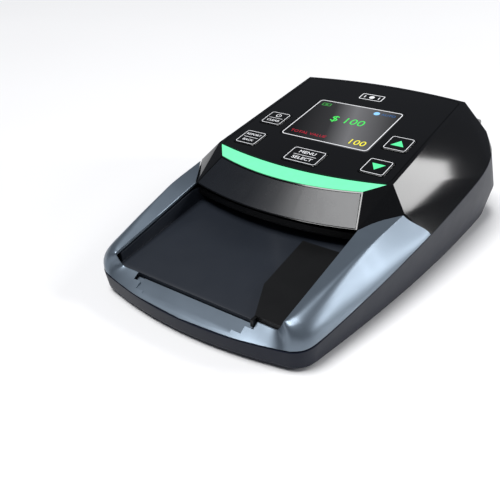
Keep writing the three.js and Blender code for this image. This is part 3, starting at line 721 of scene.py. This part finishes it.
# How far from the ridge its rounding reaches, for each point of the tracks.
ROUNDING = [0.25, 0.3, 0.5, 1.0, 2.4, 3.4, 2.6, 1.8, 1.2, 0.8, 0.4, 0.25, 0.25, 0.25]


# Places along the tracks: the rail's front end, the end of the corner, and the middle of the lip.
RAIL_END, CORNER_END, LIP_MIDDLE = 7.5, 9, 13
HEAD_GAP = 0.3


def housing_section(t):
    """A closed section of the housing, from its inner top edge over the ridge and down to the seam."""
    foot = [(side_x(y), y) for y in FOOT_Y] + FOOT_CORNER
    ridge, inner, upper, lower = (spline(track, t) for track in (RIDGE, INNER, UPPER, LOWER))
    fx, fy = spline(foot, t)
    foot_z = seam_z(fy) + 0.3
    soft = spline([(s,) for s in ROUNDING], t)[0]
    curve = [ridge, upper, lower, (fx, fy, foot_z + 0.35)]
    first = 0.02
    while math.dist(bezier(curve, first), ridge) < soft and first < 0.4:
        first += 0.01
    across = max(math.dist(ridge, inner), 1e-6)
    back = lerp(ridge, inner, min(0.45, soft / across))
    held = lerp(ridge, inner, min(0.6, (soft + 0.5) / across))
    over = [bezier([back, ridge, bezier(curve, first)], k / 5) for k in range(6)]
    outer = [bezier(curve, first + (1 - first) * k / 18) for k in range(1, 19)]
    rail, corner = t < RAIL_END, t < CORNER_END
    depth = 1.4 if rail else max(0.5, min(1.4, inner[2] - 11.6))
    start = lerp(inner, ridge, 0.06)
    edge = [(inner[0], inner[1], inner[2] - 0.25), lerp(inner, ridge, 0.015), start, held]
    under = [
        (fx - 0.3 * (fx > 1), fy + 0.15, foot_z),
        (max(fx - 1.8, 0) if corner else fx, fy + (0.6 if corner else 1.6), foot_z),
        (inner[0] + (1.4 if rail else 0), inner[1] + (0 if rail else -0.2), inner[2] - depth - 1.0),
        (inner[0], inner[1], inner[2] - depth),
    ]
    return edge + over + outer + under


def rail_housing():
    """The rails and the front lip, cut clear of the head, with a stepped finger notch in the lip."""
    right = [housing_section(k / 8) for k in range(LIP_MIDDLE * 8 + 1)]
    left = [[(-x, y, z) for x, y, z in section] for section in reversed(right[:-1])]
    body = grid_body(right + left)
    gap = (-HEAD_GAP, HEAD_GAP)
    swollen = [(x + a, y + b, z + c) for x, y, z in head_points() for a in gap for b in gap for c in gap]
    body = combine(body, hull(swollen))
    body = combine(body, block(-60, 60, 90, 110, 0, 60))
    for half, start in ((24.5, 1.9), (29, 4.4), (33, 7.6)):
        body = combine(body, block(-half, half, start, 14, lambda y: 9.4 + 0.27 * (y - 1.9), 18))
    piece(
        "housing_shell", body, "satin", "base", ["rail_housing"], smooth=24, weighted=False
    )


# ------------------------------------------------------------ key graphics
INK = 0.045
KEY_FACE = 0.49


def panel_flat(x, y, lift):
    return (x, y, panel_z(y) + lift)


def ink(name, shapes, look, lift, body="head"):
    """Thin raised ink, from closed outlines in plan that lie on the panel's slope."""
    bm = bmesh.new()
    for shape in shapes:
        low = [bm.verts.new(panel_flat(x, y, lift - 0.02)) for x, y in shape]
        high = [bm.verts.new(panel_flat(x, y, lift + INK)) for x, y in shape]
        n = len(shape)
        bm.faces.new(high)
        bm.faces.new(list(reversed(low)))
        for i in range(n):
            j = (i + 1) % n
            bm.faces.new((low[i], low[j], high[j], high[i]))
    bmesh.ops.recalc_face_normals(bm, faces=bm.faces)
    return piece(name, bm, look, body, weighted=False)


def band_shapes(line, width):
    """A closed outline drawn as a band: one quad for each edge."""
    cx = sum(p[0] for p in line) / len(line)
    cy = sum(p[1] for p in line) / len(line)
    inner = []
    n = len(line)
    for i, (x, y) in enumerate(line):
        a, b = line[i - 1], line[(i + 1) % n]
        tx, ty = b[0] - a[0], b[1] - a[1]
        size = math.hypot(tx, ty) or 1
        nx, ny = -ty / size, tx / size
        if (cx - x) * nx + (cy - y) * ny < 0:
            nx, ny = -nx, -ny
        inner.append((x + nx * width, y + ny * width))
    return [[line[i], line[(i + 1) % n], inner[(i + 1) % n], inner[i]] for i in range(n)]


def rectangle(x0, x1, y0, y1):
    return [(x0, y0), (x1, y0), (x1, y1), (x0, y1)]


def words(name, text, size, x, y, look, lift, body="head"):
    """Lettering built from a font's outlines, laid on the panel's slope and centred at x, y."""
    curve = bpy.data.curves.new(name, "FONT")
    curve.body = text
    curve.size = size
    curve.align_x = "CENTER"
    curve.align_y = "CENTER"
    curve.extrude = INK / 2
    curve.resolution_u = 3
    o = bpy.data.objects.new(name + "_curve", curve)
    bpy.context.scene.collection.objects.link(o)
    bpy.context.view_layer.update()
    bm = bmesh.new()
    got = o.evaluated_get(bpy.context.evaluated_depsgraph_get())
    bm.from_mesh(got.to_mesh())
    got.to_mesh_clear()
    bpy.data.objects.remove(o)
    bpy.data.curves.remove(curve)
    for v in bm.verts:
        px, py = x + v.co.x, y + v.co.y * math.cos(PANEL_TILT)
        v.co = (px, py, panel_z(py) + lift + v.co.z + INK / 2)
    return piece(name, bm, look, body, weighted=False)


def key_cap(name, x, y, w):
    """A softly crowned key with a bevelled rim, standing in its hole in the panel."""
    profile = ((0, -2.6, 1.6), (0, 0.12, 1.6), (0.12, 0.34, 1.5), (0.4, 0.46, 1.3), (1.4, 0.5, 1.0))
    rings = []
    for inset, up, radius in profile:
        line = round_rect(x, y, w - 2 * inset, KEY_LONG - 2 * inset, radius)
        rings.append([(px, py, panel_z(py) + up) for px, py in line])
    piece(name + "_cap", grid_body(rings), "gloss", name, [name], smooth=40)
    rim = band_shapes(round_rect(x, y, w - 1.6, KEY_LONG - 1.6, 1.3), 0.28)
    ink(name + "_rim", rim, "white", KEY_FACE, name)


def power_symbol(x, y):
    """A ring that is open at the top, with a stroke in the gap."""
    arc = [math.radians(125 + 290 * k / 20) for k in range(21)]
    at = lambda a, r: (x + r * math.cos(a), y + r * math.sin(a))
    rim = [[at(a, 1.25), at(a, 1.6), at(b, 1.6), at(b, 1.25)] for a, b in zip(arc, arc[1:])]
    stroke = rectangle(x - 0.18, x + 0.18, y + 0.3, y + 2.0)
    ink("key_power_symbol", rim + [stroke], "white", KEY_FACE, "key_power")


# The keys with legends: half the divider's length, the lettering's size, and the words above and below it.
LEGENDS = (
    ("key_power", 4.2, 2.7, ("", "CLEAR")),
    ("key_back", 4.4, 2.5, ("REPORT", "BACK")),
    ("key_menu", 6.4, 3.5, ("MENU", "SELECT")),
)


def key_graphics():
    centre = {name: (x, y) for name, x, y, _ in KEYS}
    for name, x, y, w in KEYS:
        key_cap(name, x, y, w)
    for name, half, size, text in LEGENDS:
        x, y = centre[name]
        for k, line in enumerate(text):
            if line:
                words(f"{name}_legend_{k + 1}", line, size, x, y + (2.8, -2.8)[k], "white", KEY_FACE, name)
        ink(name + "_divider", [rectangle(x - half, x + half, y - 0.13, y + 0.13)], "white", KEY_FACE, name)
    x, y = centre["key_power"]
    power_symbol(x, y + 3)
    for name, s in (("key_up", 1), ("key_down", -1)):
        x, y = centre[name]
        arrow = [(x - 3.4, y - 2.4 * s), (x + 3.4, y - 2.4 * s), (x, y + 2.9 * s)]
        ink(name + "_arrow", [arrow], "green", KEY_FACE, name)


def mark():
    """A plain pictogram of a note, behind the screen."""
    y = 168.6
    ink("note_mark_rim", band_shapes(round_rect(0, y, 13.6, 6.6, 0.9), 0.42), "white", 0)
    ink("note_mark_dot", [circle(0, y, 1.5, 28)], "white", 0)
    sides = [rectangle(s * 4.3 - 0.25, s * 4.3 + 0.25, y - 1.3, y + 1.3) for s in (-1, 1)]
    ink("note_mark_sides", sides, "white", 0)


# ------------------------------------------------------------ top panel and screen
def panel():
    body = panel_prism(overlay_line(0), 0, 1.7)
    for _, x, y, w in KEYS:
        body = combine(body, panel_prism(round_rect(x, y, w + 0.6, KEY_LONG + 0.6, 1.8), -2, 6))
    w, h, y = SCREEN
    body = combine(body, panel_prism(round_rect(0, y, w + 0.6, h + 0.6, 2.2), -2, 6))
    body = round_edges(body, 0.14, 40, 2)
    piece("panel_sheet", body, "gloss", "head", ["panel_overlay"], smooth=35)


def screen():
    """The window, set slightly below the panel, and what the display shows."""
    w, h, y = SCREEN
    glass = round_edges(panel_prism(round_rect(0, y, w, h, 2), 0.06, 1.5), 0.12, 40, 2)
    piece("screen_window", glass, "screen", "head", ["display_window"], smooth=35)
    lift = -0.04
    ink("screen_rim", band_shapes(round_rect(0, y, w - 1.4, h - 1.4, 2.2), 0.42), "white", lift)
    words("screen_total", "$ 100", 8.6, 1.2, y + 3.2, "leaf", lift)
    words("screen_caption", "TOTAL VALUE", 3.3, -11.2, y - 16.2, "red", lift)
    words("screen_count", "100", 6.8, 16.6, y - 15.4, "amber", lift)
    words("screen_mode", "AUTO", 2.9, 18.2, y + 16.6, "blue", lift)
    ink("screen_dot", [circle(11.4, y + 16.6, 1.7, 20)], "sky", lift)
    ink("screen_icon", band_shapes(round_rect(-19.2, y + 16.6, 5.4, 3.0, 0.5), 0.5), "dim", lift)
    ink("screen_icon_dot", [round_rect(-19.2, y + 16.6, 1.6, 1.2, 0.4)], "dim", lift)


# ------------------------------------------------------------ note guide
def note_guide():
    """The sliding guide: a flat plate with a finger tab at its front."""
    plan = [(22.5, 61), (23.8, 28.4), (31.4, 11.2), (45.2, 11.2), (45.2, 30), (48, 30), (48, 61)]
    slab = prism(plan, lambda y: path_z(y) + 0.4, lambda y: path_z(y) + 2.5)
    tab_side = ((8.2, 12.5), (9.7, 12.5), (11.6, 14.1), (11.6, 15.8), (8.2, 15.8))
    tab = hull([(x, y, z) for x in (31.2, 32.6) for y, z in tab_side])
    body = round_edges(combine(slab, tab, "UNION"), 0.45, 30, 3)
    piece("guide_plate", body, "guide", "guide", ["note_guide"], smooth=35)


base_shell()
head_shell()
fascia()
light_bar()
rail_housing()
note_guide()
panel()
screen()
key_graphics()
mark()

# The slots of upper_guide pass so close to the pinch shafts that a bevel there would touch them.
for name in NODES:
    if name != "upper_guide":
        soften(name, 0.25)


# ------------------------------------------------------------ floor, light, camera
def floor():
    mat, tree, shader = node_material("pale_floor")
    pale = between(tree, noise(tree, 400, 2), (0.95, 0.95, 0.955), (0.975, 0.975, 0.98))
    tree.links.new(pale, shader.inputs["Base Color"])
    shader.inputs["Roughness"].default_value = 0.35
    bm = bmesh.new()
    bmesh.ops.create_grid(bm, x_segments=4, y_segments=4, size=6.0)
    mesh = bpy.data.meshes.new("floor")
    bm.to_mesh(mesh)
    bm.free()
    o = bpy.data.objects.new("floor", mesh)
    mesh.materials.append(mat)
    bpy.context.scene.collection.objects.link(o)


AIM = Vector((0, 0, 0.03))
SOFTBOX_DISTANCE = 3.0


def softbox(name, direction, width, height, watts):
    """A rectangular light that stands in a direction from the object and faces it."""
    data = bpy.data.lights.new(name, "AREA")
    data.shape = "RECTANGLE"
    data.size, data.size_y = width, height
    data.energy = watts
    o = bpy.data.objects.new(name, data)
    bpy.context.scene.collection.objects.link(o)
    d = Vector(direction).normalized()
    o.location = AIM + d * SOFTBOX_DISTANCE
    o.rotation_mode = "QUATERNION"
    o.rotation_quaternion = d.to_track_quat("Z", "Y")
    o.visible_camera = False


def world():
    """A dim grey surround for the light, which the camera sees as pale."""
    w = bpy.data.worlds.new("studio")
    bpy.context.scene.world = w
    w.use_nodes = True
    tree = w.node_tree
    back = tree.nodes["Background"]
    out = tree.nodes["World Output"]
    back.inputs["Color"].default_value = (0.10, 0.105, 0.12, 1)
    back.inputs["Strength"].default_value = 1.0
    pale = tree.nodes.new("ShaderNodeBackground")
    pale.inputs["Color"].default_value = (0.95, 0.95, 0.96, 1)
    path = tree.nodes.new("ShaderNodeLightPath")
    mix = tree.nodes.new("ShaderNodeMixShader")
    tree.links.new(path.outputs["Is Camera Ray"], mix.inputs["Fac"])
    tree.links.new(back.outputs["Background"], mix.inputs[1])
    tree.links.new(pale.outputs["Background"], mix.inputs[2])
    tree.links.new(mix.outputs["Shader"], out.inputs["Surface"])


def lights():
    """A broad sun overhead, and two softboxes that give the gloss its highlights."""
    data = bpy.data.lights.new("overhead", "SUN")
    data.energy = 3.0
    data.angle = math.radians(31)
    o = bpy.data.objects.new("overhead", data)
    bpy.context.scene.collection.objects.link(o)
    o.rotation_mode = "QUATERNION"
    o.rotation_quaternion = Vector((-0.15, -0.20, 0.968)).to_track_quat("Z", "Y")
    softbox("right_rear", (0.548, 0.629, 0.552), 0.92, 0.66, 19)
    softbox("right_side", (0.829, 0.46, 0.318), 0.70, 0.70, 26)


CAMERA_AT = Vector((0.15338, -0.24869, 0.16910))


def camera():
    """The photograph's viewing angle, slightly rolled."""
    data = bpy.data.cameras.new("camera")
    data.sensor_width = 36.0
    data.lens = 45.68
    o = bpy.data.objects.new("camera", data)
    bpy.context.scene.collection.objects.link(o)
    yaw, pitch, roll = math.radians(37.3), math.radians(30.9), math.radians(-2.15)
    ahead = Vector((-math.sin(yaw) * math.cos(pitch), math.cos(yaw) * math.cos(pitch), -math.sin(pitch)))
    right = Vector((math.cos(yaw), math.sin(yaw), 0))
    up = right.cross(ahead)
    side = math.cos(roll) * right + math.sin(roll) * up
    top = -math.sin(roll) * right + math.cos(roll) * up
    o.matrix_world = Matrix(
        (
            (side.x, top.x, -ahead.x, CAMERA_AT.x),
            (side.y, top.y, -ahead.y, CAMERA_AT.y),
            (side.z, top.z, -ahead.z, CAMERA_AT.z),
            (0, 0, 0, 1),
        )
    )
    data.clip_start = 0.01
    data.clip_end = 60
    bpy.context.scene.camera = o


floor()
world()
lights()
camera()
bpy.context.scene.view_settings.view_transform = "Standard"
